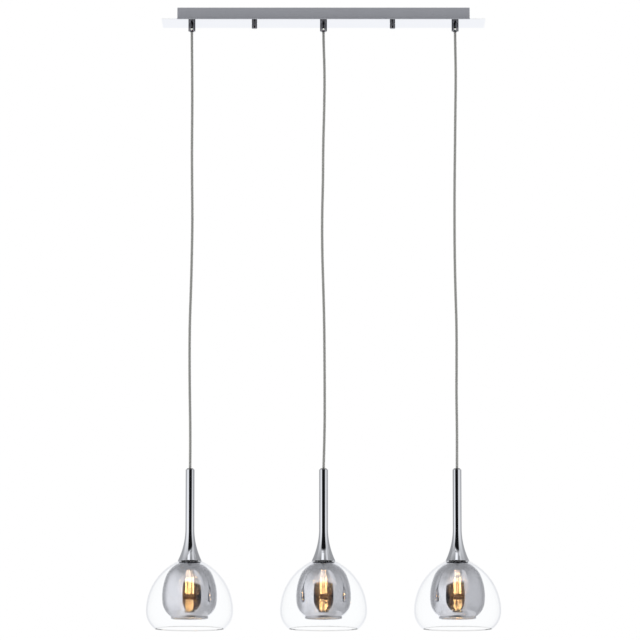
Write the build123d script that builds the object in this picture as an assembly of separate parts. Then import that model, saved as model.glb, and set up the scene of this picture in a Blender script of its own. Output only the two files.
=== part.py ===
from build123d import *
import math
import os

# A three-lamp pendant bar for a ceiling, in millimetres.
# X runs along the bar, -Y is the front, +Z is up.
# The origin is the middle of the face that lies against the ceiling.

# Clearances
thread_gap = 0.1
slip_gap = 0.3
seat_gap = 0.2
cord_gap = 0.3

# Ceiling channel, a folded steel box that is open below and stops short of the plate's ends
channel_inset = 28.5
channel_width = 50.0
channel_height = 23.5
channel_wall = 1.2
channel_corner = 1.5
slot_spacing = 320.0
slot_width = 5.5
slot_length = 14.0

# Cover plate under the channel, and how far the outer pendants hang from its ends
plate_length = 600.0
plate_width = 80.0
plate_thickness = 1.5
plate_corner = 1.0
pendant_inset = 55.0

# Welded studs and the cap nuts that hold the cover plate
stud_spacing = 257.0
stud_radius = 2.5
stud_hole_gap = 0.3
stud_grip = 7.0
cap_nut_radius = 5.0
cap_nut_height = 9.7
cap_nut_floor = 1.7
cap_nut_round = 0.8

# Supply entry in the channel and its rubber bush
supply_x = -64.0
supply_bore_radius = 5.0
supply_neck_wall = 2.0
supply_flange_wall = 2.0
supply_flange_height = 1.5

# Earth stud with its nut
earth_x = -105.0
earth_y = -13.0
earth_stud_radius = 2.0
earth_stud_length = 11.0
earth_nut_flats = 7.0
earth_nut_height = 3.2
earth_nut_drop = 4.0

# Terminal block: three poles side by side across the channel
block_x = 64.0
pole_count = 3
pole_pitch = 10.0
pole_width = 6.0
block_length = 17.0
pole_height = 14.0
bridge_height = 8.0
entry_radius = 1.9
entry_drop = 4.8
pole_screw_radius = 1.6
pole_screw_length = 5.0
pole_screw_spacing = 9.0
block_screw_radius = 1.4
block_screw_head_height = 1.6

# Cords and the route of their free stretch
cord_radius = 2.5
lead_bend_radius = 14.0
lead_turn_run = 60.0
cord_run = 66.8
cord_offsets = {
    "left": [0, 0.9, 1.3, 0.9, 1.4, 2.4, 1.7, 0.3, -1.8, -1.9, -1.1, 0.3, 0],
    "middle": [0, 2.2, 1.3, -0.6, -0.9, -2.7, -2.4, -0.3, 1.3, 1.9, 2.2, 2.1, 0],
    "right": [0, 1.1, -0.1, -1.0, -2.1, -2.6, -2.5, -1.5, 0.4, 0.3, -0.4, 0.5, 0],
}
cord_arc_share = 0.45

# Cord grips, with a threaded shank, a locknut and a clamp screw
grip_radius = 6.5
grip_body_height = 15.0
grip_nose_height = 1.0
grip_nose_root_radius = 4.2
grip_nose_radius = 3.8
grip_bellmouth = 0.7
grip_shank_radius = 5.0
grip_shank_rise = 3.5
grip_hole_gap = 0.2
locknut_flats = 14.0
locknut_height = 3.0
clamp_screw_radius = 2.0
clamp_screw_rise = 3.0
clamp_screw_stand = 0.5

# Where the cord bends below a grip: first sideways, then to and fro
sideways_drop = 1.0
flex_length = 14.0

# Trumpet stem
stem_radius = 8.1
stem_length = 168.0
stem_wall = 1.2
stem_top_wall = 2.0
stem_top_round = 0.8
flare_height = 60.0
flare_radius = 22.0
stem_web_height = 36.0
stem_web_thickness = 4.0

# Cord bush in the top of the stem
bush_neck_wall = 1.4
bush_flange_wall = 2.0
bush_flange_height = 1.8
bush_neck_length = 4.0

# Threaded nipple that joins the stem and the lampholder
nipple_radius = 5.0
nipple_wall = 1.8
nipple_top = 40.0
nipple_bottom = 13.0

# Lampholder and its brass contacts
holder_top = 20.0
holder_cap_radius = 11.0
holder_cap_round = 2.0
holder_flange_radius = 17.5
holder_flange_top = 2.0
holder_flange_thickness = 1.5
holder_skirt_radius = 14.0
holder_skirt_length = 16.0
socket_floor = 12.0
shell_wall = 0.9
shell_length = 20.0
shell_drop = 4.5
tongue_width = 4.0
tongue_thickness = 0.6

# Shade seats: two gaskets and the ring that clamps both collars
gasket_thickness = 0.8
gasket_inset = 1.0
collar_radius = 20.0
collar_hole_gap = 0.5
ring_inset = 1.2
ring_height = 6.0
ring_notch_width = 4.0
ring_notch_depth = 2.0
ring_notches = 6

# Clear outer shade: a crown arc above its widest ring, a hip arc below
outer_wall = 3.0
outer_widest_radius = 79.5
outer_crown_height = 91.5
outer_hip_height = 33.2
outer_rim_radius = 62.5
outer_rim_round = 1.2

# Smoked inner shade: shoulder, long flank, hip and a short straight lip
inner_wall = 2.5
inner_widest_radius = 50.3
inner_crown_height = 61.1
inner_flank_radius = 100.0
inner_flank_below = 6.0
inner_hip_height = 37.1
inner_lip_radius = 33.8
inner_lip_height = 3.6
inner_rim_round = 1.0

# Round filament bulb with a small screw cap
cap_radius = 7.0
cap_length = 19.0
cap_insulator_height = 3.0
cap_insulator_radius = 4.5
cap_button_radius = 2.4
cap_button_height = 1.5
envelope_radius = 22.5
envelope_wall = 0.9
envelope_neck_radius = 6.3
envelope_neck_length = 2.0
envelope_length = 55.0
filament_count = 4
filament_radius = 0.9
filament_length = 29.0
filament_circle_radius = 6.5
filament_drop = 18.2
mount_flare_height = 10.0
mount_radius = 2.2
mount_rise = 2.0
mount_wire_radius = 0.5

# Lengths that follow from the cover plate
channel_length = plate_length - 2 * channel_inset
pendant_pitch = plate_length / 2 - pendant_inset

# Heights that follow from the sizes above
plate_top = -channel_height
plate_bottom = plate_top - plate_thickness
grip_mouth = plate_bottom - grip_body_height - grip_nose_height
sideways_pivot = grip_mouth - sideways_drop
swing_pivot = sideways_pivot - flex_length
cord_runs = len(cord_offsets["middle"]) - 1
cord_end = swing_pivot - cord_run * cord_runs
bush_top = cord_end - seat_gap
stem_top = bush_top - bush_flange_height
flare_rim = stem_top - stem_length

# Heights below are measured from the flare rim of one pendant
gasket_top = holder_flange_top - holder_flange_thickness
outer_collar_top = gasket_top - gasket_thickness
spacer_top = outer_collar_top - outer_wall
inner_collar_top = spacer_top - gasket_thickness
ring_top = inner_collar_top - inner_wall
cap_top = socket_floor - tongue_thickness - seat_gap
cap_shell_top = cap_top - cap_button_height - cap_insulator_height
cap_bottom = cap_shell_top - cap_length
shell_top = socket_floor - tongue_thickness - shell_drop

# Slope, from upright, on which both glasses leave their collars side by side
crown_slope = 2 * math.atan2(outer_widest_radius - collar_radius, outer_crown_height)

# Heights and places of the terminal block, from the channel web
pole_y = [(index - (pole_count - 1) / 2) * pole_pitch for index in range(pole_count)]
pole_screw_x = [side * pole_screw_spacing / 2 for side in (-1, 1)]
pole_bottom = -channel_wall - pole_height
bridge_bottom = -channel_wall - bridge_height
entry_height = -channel_wall - entry_drop

# Radii that follow from the pieces that pass through or sit beside
cord_bore_radius = cord_radius + cord_gap
stud_hole_radius = stud_radius + stud_hole_gap
shank_hole_radius = grip_shank_radius + grip_hole_gap
supply_neck_radius = supply_bore_radius + supply_neck_wall
bush_neck_radius = cord_bore_radius + bush_neck_wall
bush_flange_radius = bush_neck_radius + bush_flange_wall
nipple_hole_radius = nipple_radius + thread_gap
shell_inner_radius = cap_radius + slip_gap
shell_radius = shell_inner_radius + shell_wall
socket_radius = shell_radius + thread_gap
collar_hole_radius = holder_skirt_radius + collar_hole_gap
gasket_radius = collar_radius - gasket_inset
ring_radius = collar_radius - ring_inset
block_screw_head_radius = (pole_pitch - pole_width) / 2 - thread_gap

from_base = (Align.CENTER, Align.CENTER, Align.MIN)
pendant_x = {"left": -pendant_pitch, "middle": 0.0, "right": pendant_pitch}


def spun(outline):
    """Solid of revolution about Z of a closed outline of (radius, height) edges."""
    return revolve(Plane.XZ * make_face(outline), Axis.Z)


def tube(outer_radius, inner_radius, top, bottom):
    """Round tube about Z between two heights."""
    section = Circle(outer_radius) - Circle(inner_radius)
    return Pos(0, 0, bottom) * extrude(section, top - bottom)


def rod(radius, top, bottom):
    """Round rod about Z between two heights."""
    return Pos(0, 0, bottom) * extrude(Circle(radius), top - bottom)


def hex_nut(flats, bore_radius, top, bottom):
    """Six-sided nut about Z between two heights."""
    section = RegularPolygon(flats / 2, 6, major_radius=False) - Circle(bore_radius)
    return Pos(0, 0, bottom) * extrude(section, top - bottom)


def block(x_size, y_size, top, bottom, corner=0.0):
    """Upright block about Z, with rounded upright edges where a corner radius is given."""
    section = RectangleRounded(x_size, y_size, corner) if corner else Rectangle(x_size, y_size)
    return Pos(0, 0, bottom) * extrude(section, top - bottom)


def shell_wall_face(profile, wall):
    """Closed wall section that lies on the axis side of an open profile drawn downwards."""
    return make_face(offset(profile, wall, side=Side.RIGHT))


def ceiling_channel():
    """Inverted tray with two fixing slots and the supply hole in its web."""
    outside = block(channel_length, channel_width, 0, -channel_height, channel_corner)
    inside = block(
        channel_length - 2 * channel_wall,
        channel_width - 2 * channel_wall,
        -channel_wall,
        -channel_height,
        max(channel_corner - channel_wall, 0),
    )
    slot = extrude(SlotOverall(slot_length, slot_width), -channel_wall)
    slots = [Pos(side * slot_spacing / 2, 0, 0) * slot for side in (-1, 1)]
    supply_hole = Pos(supply_x, 0, 0) * rod(supply_neck_radius, 0, -channel_wall)
    screw_hole = Pos(block_x, pole_pitch / 2, 0) * rod(block_screw_radius + thread_gap, 0, -channel_wall)
    return outside - inside - slots - supply_hole - screw_hole


def cover_plate():
    """Flat plate with a hole for each grip shank and each stud."""
    plate = block(plate_length, plate_width, plate_top, plate_bottom, plate_corner)
    shank_hole = rod(shank_hole_radius, plate_top, plate_bottom)
    stud_hole = rod(stud_hole_radius, plate_top, plate_bottom)
    shank_holes = [Pos(x, 0, 0) * shank_hole for x in pendant_x.values()]
    stud_holes = [Pos(side * stud_spacing / 2, 0, 0) * stud_hole for side in (-1, 1)]
    return plate - shank_holes - stud_holes


def plate_stud():
    """Stud welded under the web, long enough to hold a cap nut under the plate."""
    return rod(stud_radius, -channel_wall, plate_bottom - stud_grip)


def cap_nut():
    """Round closed nut with a softened lower edge."""
    bottom = plate_bottom - cap_nut_height
    nut = rod(cap_nut_radius, plate_bottom, bottom)
    nut = fillet(nut.faces().sort_by(Axis.Z)[0].edges(), cap_nut_round)
    return nut - rod(stud_radius + thread_gap, plate_bottom, bottom + cap_nut_floor)


def cord_grip():
    """Turned grip with a threaded shank, a short nose, a bellmouth and a clamp screw hole."""
    shank_top = plate_top + grip_shank_rise
    nose_top = plate_bottom - grip_body_height
    bell_top = grip_mouth + grip_bellmouth
    bell_radius = cord_bore_radius + grip_bellmouth
    outline = Polyline(
        (bell_radius, grip_mouth),
        (grip_nose_radius, grip_mouth),
        (grip_nose_root_radius, nose_top),
        (grip_radius, nose_top),
        (grip_radius, plate_bottom),
        (grip_shank_radius, plate_bottom),
        (grip_shank_radius, shank_top),
        (cord_bore_radius, shank_top),
        (cord_bore_radius, bell_top),
    )
    bellmouth = RadiusArc((cord_bore_radius, bell_top), (bell_radius, grip_mouth), grip_bellmouth)
    screw_hole = Cylinder(clamp_screw_radius + thread_gap, grip_radius, align=from_base)
    return spun(outline + bellmouth) - clamp_screw_axis() * screw_hole


def clamp_screw_axis():
    """Place on the grip axis where the clamp screw points, with its local Z towards the front."""
    height = plate_bottom - grip_body_height + clamp_screw_rise
    return Location(Plane(origin=(0, 0, height), z_dir=(0, -1, 0)))


def clamp_screw():
    """Plain nylon screw that bears on the cord from the front."""
    start = cord_radius + seat_gap
    length = grip_radius + clamp_screw_stand - start
    return clamp_screw_axis() * Pos(0, 0, start) * Cylinder(clamp_screw_radius, length, align=from_base)


def grip_locknut():
    """Locknut on the grip shank, seated on the plate inside the channel."""
    return hex_nut(locknut_flats, grip_shank_radius + thread_gap, plate_top + locknut_height, plate_top)


def supply_bush():
    """Rubber bush, flush with the ceiling face, with a flange inside the channel."""
    flange_bottom = -channel_wall - supply_flange_height
    neck = tube(supply_neck_radius, supply_bore_radius, 0, -channel_wall)
    flange = tube(supply_neck_radius + supply_flange_wall, supply_bore_radius, -channel_wall, flange_bottom)
    return Pos(supply_x, 0, 0) * (neck + flange)


def earth_stud():
    """Earth stud welded under the web, and its nut."""
    stud = rod(earth_stud_radius, -channel_wall, -channel_wall - earth_stud_length)
    nut_top = -channel_wall - earth_nut_drop
    nut = hex_nut(earth_nut_flats, earth_stud_radius + thread_gap, nut_top, nut_top - earth_nut_height)
    return [Pos(earth_x, earth_y, 0) * solid for solid in (stud, nut)]


def terminal_block():
    """Three-pole block under the web, with wire entries along X and screw wells below."""
    bridge_width = pole_pitch * (pole_count - 1)
    body = block(block_length, bridge_width, -channel_wall, bridge_bottom)
    for y in pole_y:
        body += Pos(0, y, 0) * block(block_length, pole_width, -channel_wall, pole_bottom)
    for y in pole_y:
        entry = Rot(0, 90, 0) * Cylinder(entry_radius, block_length)
        body -= Pos(0, y, entry_height) * entry
        for x in pole_screw_x:
            body -= Pos(x, y, 0) * rod(pole_screw_radius + thread_gap, entry_height, pole_bottom)
    body -= Pos(0, pole_pitch / 2, 0) * rod(block_screw_radius + thread_gap, -channel_wall, bridge_bottom)
    return Pos(block_x, 0, 0) * body


def terminal_screws():
    """Two clamp screws in each pole, and the screw that holds the block to the web."""
    screw = rod(pole_screw_radius, pole_bottom + pole_screw_length, pole_bottom)
    screws = [Pos(block_x + x, y, 0) * screw for y in pole_y for x in pole_screw_x]
    head = rod(block_screw_head_radius, bridge_bottom, bridge_bottom - block_screw_head_height)
    fixing = rod(block_screw_radius, -seat_gap, bridge_bottom) + head
    screws.append(Pos(block_x, pole_pitch / 2, 0) * fixing)
    return screws


def swept_cord(points, radii):
    """Round cord along straight runs with tangent arcs between them."""
    path = FilletPolyline(*points, radius=radii)
    start = Plane(origin=path @ 0, z_dir=path % 0)
    return sweep(start * Circle(cord_radius), path)


def lead(side):
    """Cord from the grip mouth up into the channel and along it to the terminal block."""
    x = pendant_x[side]
    bottom = sideways_pivot + cord_radius + cord_gap
    if side == "middle":
        points = [(x, 0, bottom), (x, 0, entry_height), (block_x - block_length / 2, 0, entry_height)]
        return swept_cord(points, [lead_bend_radius])
    inward = 1 if side == "left" else -1
    pole = inward * pole_pitch
    face_x = block_x - inward * block_length / 2
    points = [
        (x, 0, bottom),
        (x, 0, entry_height),
        (x + inward * lead_turn_run, pole, entry_height),
        (face_x, pole, entry_height),
    ]
    half_turn = math.atan2(pole_pitch, lead_turn_run) / 2
    gentle_radius = cord_arc_share * lead_turn_run / math.tan(half_turn)
    return swept_cord(points, [lead_bend_radius, gentle_radius])


def cord_flex(side):
    """Short bending stretch of cord between the two pivots under a grip."""
    bottom = swing_pivot + cord_radius + cord_gap
    stretch = rod(cord_radius, sideways_pivot, bottom) + Pos(0, 0, sideways_pivot) * Sphere(cord_radius)
    return Pos(pendant_x[side], 0, 0) * stretch


def cord_points(side):
    """Route points of the free cord from the swing pivot down to the stem."""
    x = pendant_x[side]
    shifts = enumerate(cord_offsets[side])
    return [(x + shift, 0, swing_pivot - index * cord_run) for index, shift in shifts]


def corner_radii(points):
    """Largest tangent arc at each corner, by the shorter of its two runs."""
    radii = []
    for before, corner, after in zip(points, points[1:], points[2:]):
        run_in = Vector(corner) - Vector(before)
        run_out = Vector(after) - Vector(corner)
        half_turn = math.radians(run_in.get_angle(run_out)) / 2
        radii.append(cord_arc_share * min(run_in.length, run_out.length) / math.tan(half_turn))
    return radii


def cord(side):
    """Free cord with its photographed sway and a round upper end at the swing pivot."""
    points = cord_points(side)
    radii = corner_radii(points)
    print(side, "cord radii from", round(min(radii)), "to", round(max(radii)))
    return swept_cord(points, radii) + Pos(*points[0]) * Sphere(cord_radius)


def trumpet(radius, rim_radius, top, bottom):
    """Solid trumpet form: a straight shaft whose flare arc meets the shaft tangentially."""
    shaft = Polyline((0, bottom), (0, top), (radius, top), (radius, flare_height))
    flare = TangentArc((radius, flare_height), (rim_radius, bottom), tangent=(0, -1))
    foot = Line((rim_radius, bottom), (0, bottom))
    return spun(shaft + flare + foot)


def stem():
    """Spun trumpet tube with a top wall for the bush and a brazed web for the nipple."""
    shell = trumpet(stem_radius, flare_radius, stem_length, 0)
    shell = fillet(shell.faces().sort_by(Axis.Z)[-1].edges(), stem_top_round)
    hollow = trumpet(stem_radius - stem_wall, flare_radius - stem_wall, stem_length - stem_top_wall, 0)
    web_top = stem_web_height + stem_web_thickness / 2
    hollow -= rod(flare_radius, web_top, web_top - stem_web_thickness)
    nipple_hole = rod(nipple_hole_radius, web_top, web_top - stem_web_thickness)
    bush_hole = rod(bush_neck_radius + thread_gap, stem_length, stem_length - stem_top_wall)
    return shell - hollow - nipple_hole - bush_hole


def stem_bush():
    """Black bush in the stem top, with a small flange that shows above it."""
    flange = tube(bush_flange_radius, cord_bore_radius, stem_length + bush_flange_height, stem_length)
    neck = tube(bush_neck_radius, cord_bore_radius, stem_length, stem_length - bush_neck_length)
    return flange + neck


def stem_lead():
    """Cord inside the stem, from the bush down through the nipple."""
    return rod(cord_radius, stem_length + bush_flange_height, nipple_bottom)


def nipple():
    """Threaded tube through the stem web into the lampholder cap."""
    return tube(nipple_radius, nipple_radius - nipple_wall, nipple_top, nipple_bottom)


def lampholder():
    """Moulded lampholder: cap, seating flange and skirt round the screw socket."""
    cap = rod(holder_cap_radius, holder_top, gasket_top)
    cap = fillet(cap.faces().sort_by(Axis.Z)[-1].edges(), holder_cap_round)
    flange = rod(holder_flange_radius, holder_flange_top, gasket_top)
    skirt = rod(holder_skirt_radius, gasket_top, -holder_skirt_length)
    socket = rod(socket_radius, socket_floor, -holder_skirt_length)
    nipple_hole = rod(nipple_hole_radius, holder_top, socket_floor)
    return cap + flange + skirt - socket - nipple_hole


def socket_contacts():
    """Brass screw shell in the socket and the sprung centre tongue above the bulb cap."""
    shell = tube(shell_radius, shell_inner_radius, shell_top, shell_top - shell_length)
    disc = Circle(socket_radius - seat_gap)
    strip = disc & Rectangle(2 * socket_radius, tongue_width)
    tongue = Pos(0, 0, socket_floor - tongue_thickness) * extrude(strip, tongue_thickness)
    return [shell, tongue]


def shade_gaskets():
    """Soft rings above the outer collar and between the two collars."""
    tops = (gasket_top, spacer_top)
    return [tube(gasket_radius, collar_hole_radius, top, top - gasket_thickness) for top in tops]


def outer_shade():
    """Clear blown bell: flat collar, crown arc and hip arc that meet at the widest ring."""
    widest = (outer_widest_radius, outer_collar_top - outer_crown_height)
    collar_edge = (collar_radius, outer_collar_top)
    rim = (outer_rim_radius, widest[1] - outer_hip_height)
    collar = Line((collar_hole_radius, outer_collar_top), collar_edge)
    crown = TangentArc(widest, collar_edge, tangent=(0, 1))
    hip = TangentArc(widest, rim, tangent=(0, -1))
    profile = Wire([collar, crown, hip])
    glass = revolve(Plane.XZ * shell_wall_face(profile, outer_wall), Axis.Z)
    return fillet(rim_edges(glass), outer_rim_round)


def rim_edges(glass):
    """Two circular edges of the lowest rim of a shade."""
    return glass.edges().filter_by(GeomType.CIRCLE).sort_by(lambda edge: edge.center().Z)[:2]


def flank_above(collar_edge, flank_centre):
    """Angle up to which the flank runs, where a shoulder arc on the crown's slope meets it smoothly."""
    inward = Vector(-math.cos(crown_slope), -math.sin(crown_slope))
    across = flank_centre - collar_edge
    reach = 2 * (inner_flank_radius - across.dot(inward))
    shoulder_radius = (inner_flank_radius**2 - across.dot(across)) / reach
    to_shoulder = inward * shoulder_radius - across
    return math.degrees(math.atan2(to_shoulder.Y, to_shoulder.X))


def inner_shade():
    """Smoked egg-shaped glass: collar, shoulder, flank and hip arcs, and a short lip."""
    widest_height = inner_collar_top - inner_crown_height
    collar_edge = Vector(collar_radius, inner_collar_top)
    flank_centre = Vector(inner_widest_radius - inner_flank_radius, widest_height)
    flank_turn = inner_flank_below + flank_above(collar_edge, flank_centre)
    flank = CenterArc(flank_centre, inner_flank_radius, -inner_flank_below, flank_turn)
    lip_top = (inner_lip_radius, widest_height - inner_hip_height)
    collar = Line((collar_hole_radius, inner_collar_top), collar_edge)
    shoulder = TangentArc(flank @ 1, collar_edge, tangent=flank % 1)
    hip = TangentArc(flank @ 0, lip_top, tangent=(flank % 0) * -1)
    lip = Line(lip_top, (inner_lip_radius, lip_top[1] - inner_lip_height))
    profile = Wire([collar, shoulder, flank, hip, lip])
    glass = revolve(Plane.XZ * shell_wall_face(profile, inner_wall), Axis.Z)
    return fillet(rim_edges(glass), inner_rim_round)


def shade_ring():
    """Notched ring nut on the lampholder skirt that clamps both collars."""
    ring = tube(ring_radius, holder_skirt_radius + thread_gap, ring_top, ring_top - ring_height)
    notch = Box(2 * ring_notch_depth, ring_notch_width, ring_height)
    notch = Pos(ring_radius, 0, ring_top - ring_height / 2) * notch
    return ring - [Rot(0, 0, index * 360 / ring_notches) * notch for index in range(ring_notches)]


def bulb_cap():
    """Metal screw cap with a tapered insulator and a contact button."""
    insulator_top = cap_shell_top + cap_insulator_height
    outline = Polyline(
        (0, cap_bottom),
        (cap_radius, cap_bottom),
        (cap_radius, cap_shell_top),
        (cap_insulator_radius, insulator_top),
        (cap_button_radius, insulator_top),
        (cap_button_radius, cap_top),
        (0, cap_top),
        close=True,
    )
    return spun(outline)


def envelope_form(inset, top):
    """Filled bulb envelope, drawn in by an inset: straight neck, flared throat and round globe."""
    radius = envelope_radius - inset
    neck = envelope_neck_radius - inset
    centre = cap_bottom - envelope_length + envelope_radius
    throat = cap_bottom - envelope_neck_length
    rise = throat - centre
    throat_radius = (neck**2 + rise**2 - radius**2) / (2 * (radius - neck))
    share = radius / (radius + throat_radius)
    meeting = (share * (neck + throat_radius), centre + share * rise)
    side = Polyline((0, top), (neck, top), (neck, throat))
    flare = TangentArc((neck, throat), meeting, tangent=(0, -1))
    globe = TangentArc((0, centre - radius), meeting, tangent=(1, 0))
    axis = Line((0, centre - radius), (0, top))
    return spun(side + flare + globe + axis)


def bulb_glass():
    """Blown round envelope, open at the cap."""
    return envelope_form(0, cap_bottom) - envelope_form(envelope_wall, cap_bottom + envelope_wall)


def bulb_mount(top):
    """Pressed glass mount on the cap: a flare that fills the neck, then a stem that ends above the sticks."""
    flare_radius = envelope_neck_radius - envelope_wall - slip_gap
    flare_bottom = cap_bottom - mount_flare_height
    mount_bottom = top + mount_rise
    outline = Polyline(
        (0, cap_bottom),
        (flare_radius, cap_bottom),
        (flare_radius, flare_bottom),
        (mount_radius, mount_bottom),
        (0, mount_bottom),
        close=True,
    )
    return spun(outline)


def bulb_filaments():
    """Glass mount with its wires and the four filament sticks, as one group."""
    top = cap_bottom - filament_drop
    bottom = top - filament_length
    mount = bulb_mount(top) + rod(mount_wire_radius, top + mount_rise, bottom)
    spoke = Rot(0, 90, 0) * Cylinder(mount_wire_radius, filament_circle_radius, align=from_base)
    stick = Pos(filament_circle_radius, 0, 0) * rod(filament_radius, top, bottom)
    stick += [Pos(0, 0, height) * spoke for height in (top, bottom)]
    half_step = 180 / filament_count
    return mount + [Rot(0, 0, half_step * (2 * index + 1)) * stick for index in range(filament_count)]


def save(name, shapes, place=Location()):
    """Write one node as its own file, with a group of solids where it has several."""
    group = shapes if isinstance(shapes, list) else [shapes]
    solids = [solid for shape in group for solid in (place * shape).solids()]
    export_step(Compound(children=solids) if len(solids) > 1 else solids[0], f"parts/{name}.step")


os.makedirs("parts", exist_ok=True)

save("ceiling_channel", ceiling_channel())
save("cover_plate", cover_plate())
save("plate_studs", [Pos(side * stud_spacing / 2, 0, 0) * plate_stud() for side in (-1, 1)])
save("cap_nuts", [Pos(side * stud_spacing / 2, 0, 0) * cap_nut() for side in (-1, 1)])
save("grip_locknuts", [Pos(x, 0, 0) * grip_locknut() for x in pendant_x.values()])
save("clamp_screws", [Pos(x, 0, 0) * clamp_screw() for x in pendant_x.values()])
save("canopy_leads", [lead(side) for side in pendant_x])
save("supply_bush", supply_bush())
save("earth_stud", earth_stud())
save("terminal_block", terminal_block())
save("terminal_screws", terminal_screws())

lamp_pieces = {
    "stem": stem(),
    "stem_bush": stem_bush(),
    "stem_lead": stem_lead(),
    "nipple": nipple(),
    "lampholder": lampholder(),
    "socket_contacts": socket_contacts(),
    "shade_gaskets": shade_gaskets(),
    "outer_shade": outer_shade(),
    "inner_shade": inner_shade(),
    "shade_ring": shade_ring(),
    "bulb_cap": bulb_cap(),
    "bulb_glass": bulb_glass(),
    "bulb_filaments": bulb_filaments(),
}
for side, x in pendant_x.items():
    save(f"{side}_grip", cord_grip(), Pos(x, 0, 0))
    save(f"{side}_cord_flex", cord_flex(side))
    save(f"{side}_cord", cord(side))
    for piece, shapes in lamp_pieces.items():
        group = shapes if isinstance(shapes, list) else [shapes]
        save(f"{side}_{piece}", group, Pos(x, 0, flare_rim))
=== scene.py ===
"""Dresses the three-lamp pendant bar: glass, chrome, cords, lit bulbs, studio and camera.

Sizes are in metres.
"""
import math

import bmesh
import bpy
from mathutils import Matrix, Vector


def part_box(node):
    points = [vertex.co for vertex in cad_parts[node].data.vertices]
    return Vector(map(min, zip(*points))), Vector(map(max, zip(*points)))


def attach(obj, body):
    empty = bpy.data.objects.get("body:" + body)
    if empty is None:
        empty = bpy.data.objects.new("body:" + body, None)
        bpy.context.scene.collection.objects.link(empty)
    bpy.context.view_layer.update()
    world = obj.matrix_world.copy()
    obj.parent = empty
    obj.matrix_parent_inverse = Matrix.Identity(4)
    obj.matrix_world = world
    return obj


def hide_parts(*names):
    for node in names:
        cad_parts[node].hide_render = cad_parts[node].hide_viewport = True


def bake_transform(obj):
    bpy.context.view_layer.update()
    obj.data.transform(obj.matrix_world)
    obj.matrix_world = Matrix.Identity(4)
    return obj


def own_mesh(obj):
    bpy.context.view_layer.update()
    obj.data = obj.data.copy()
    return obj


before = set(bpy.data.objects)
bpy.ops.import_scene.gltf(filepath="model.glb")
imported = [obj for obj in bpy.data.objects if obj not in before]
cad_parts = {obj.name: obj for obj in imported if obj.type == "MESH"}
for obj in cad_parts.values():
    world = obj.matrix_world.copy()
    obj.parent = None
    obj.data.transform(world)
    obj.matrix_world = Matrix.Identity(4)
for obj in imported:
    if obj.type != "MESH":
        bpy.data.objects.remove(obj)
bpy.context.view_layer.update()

MM = 0.001
SIDES = ("left", "middle", "right")


def angles(*degrees):
    """Angles from degrees to radians."""
    return tuple(math.radians(angle) for angle in degrees)


# Camera, as the photograph was taken: from below the canopy, with a long lens in millimetres
CAMERA_PLACE = (-6.5 * MM, -8.0, -1.681)
CAMERA_TILT = math.radians(97.82)
CAMERA_LENS = 246.2
SENSOR_WIDTH = 36.0
CAMERA_REACH = 100.0

# Floor of the studio
FLOOR_HEIGHT = -2.0
FLOOR_RADIUS = 4.0
FLOOR_SIDES = 96

# Cords; the route's offsets are sideways from each pendant's axis, in millimetres
CORD_DIAMETER = 5.0 * MM
SIDEWAYS_PIVOT = -42.0 * MM
SWING_PIVOT = -56.0 * MM
CORD_RUN = 66.8 * MM
CORD_OFFSETS = {
    "left": [0, 0.9, 1.3, 0.9, 1.4, 2.4, 1.7, 0.3, -1.8, -1.9, -1.1, 0.3, 0],
    "middle": [0, 2.2, 1.3, -0.6, -0.9, -2.7, -2.4, -0.3, 1.3, 1.9, 2.2, 2.1, 0],
    "right": [0, 1.1, -0.1, -1.0, -2.1, -2.6, -2.5, -1.5, 0.4, 0.3, -0.4, 0.5, 0],
}
BEND_PIECE_END = SWING_PIVOT - 42.0 * MM
CORD_SIDES = 20
CORD_GAP = 0.3 * MM
ROUTE_STEPS = 24
ROUTE_ORDER = 3

# Twisted wires inside the clear sheath
WIRE_COUNT = 3
WIRE_RADIUS = 0.85 * MM
WIRE_CIRCLE = 1.0 * MM
WIRE_PITCH = 15.0 * MM
WIRE_STEPS = 10
WIRE_SIDES = 8

# Meshes: steps of a full turn, angles of sharp and soft edges, and tolerances
LATHE_STEPS = 128
SMOOTH_ANGLE = math.radians(32)
BEVEL_ANGLE = math.radians(40)
FLAT_ANGLE = math.radians(2)
WELD_DISTANCE = 1e-6
RIM_ROUND_SHARE = 0.4
RIM_SEGMENTS = 4
LEAST_ACROSS = 0.1

# Canopy details
CHANNEL_ROUND = 0.5 * MM
PLATE_ROUND = 0.72 * MM
PLATE_SEGMENTS = 5
PLATE_EDGE_SLOPE = 0.5
SMALL_ROUND = 0.4 * MM
NUT_EDGE = 1.2 * MM
NUT_GROOVE = 0.35 * MM
GRIP_SHANK_RADIUS = 5.0 * MM
GRIP_NOSE_HEIGHT = 1.0 * MM
GRIP_NOSE_ROOT = 4.2 * MM
GRIP_NOSE_RADIUS = 3.8 * MM
GRIP_EDGE = 0.4 * MM
GRIP_BORE_RADIUS = 2.8 * MM
GRIP_BELL = 0.7 * MM
SCREW_DOME = 0.5 * MM
SCREW_DOME_STEPS = 8
SCREW_SLOT_WIDTH = 0.5 * MM
SCREW_SLOT_DEPTH = 0.35 * MM

# Trumpet stem, heights from the flare rim
STEM_RADIUS = 8.1 * MM
STEM_WALL = 1.2 * MM
STEM_TOP_ROUND = 0.4 * MM
FLARE_HEIGHT = 60.0 * MM
FLARE_RADIUS = 22.0 * MM
BUSH_NECK_RADIUS = 4.2 * MM
BUSH_FLANGE_RADIUS = 6.2 * MM
BUSH_FLANGE_HEIGHT = 1.8 * MM
BUSH_ROUND = 0.7 * MM

# Glass collars; tops are heights from the flare rim
COLLAR_HOLE_RADIUS = 14.5 * MM
COLLAR_RADIUS = 20.0 * MM

# Clear outer shade
OUTER_WALL = 3.0 * MM
OUTER_COLLAR_TOP = -0.3 * MM
OUTER_WIDEST_RADIUS = 79.5 * MM
OUTER_CROWN_HEIGHT = 91.5 * MM
OUTER_HIP_HEIGHT = 33.2 * MM
OUTER_RIM_RADIUS = 62.5 * MM

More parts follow.
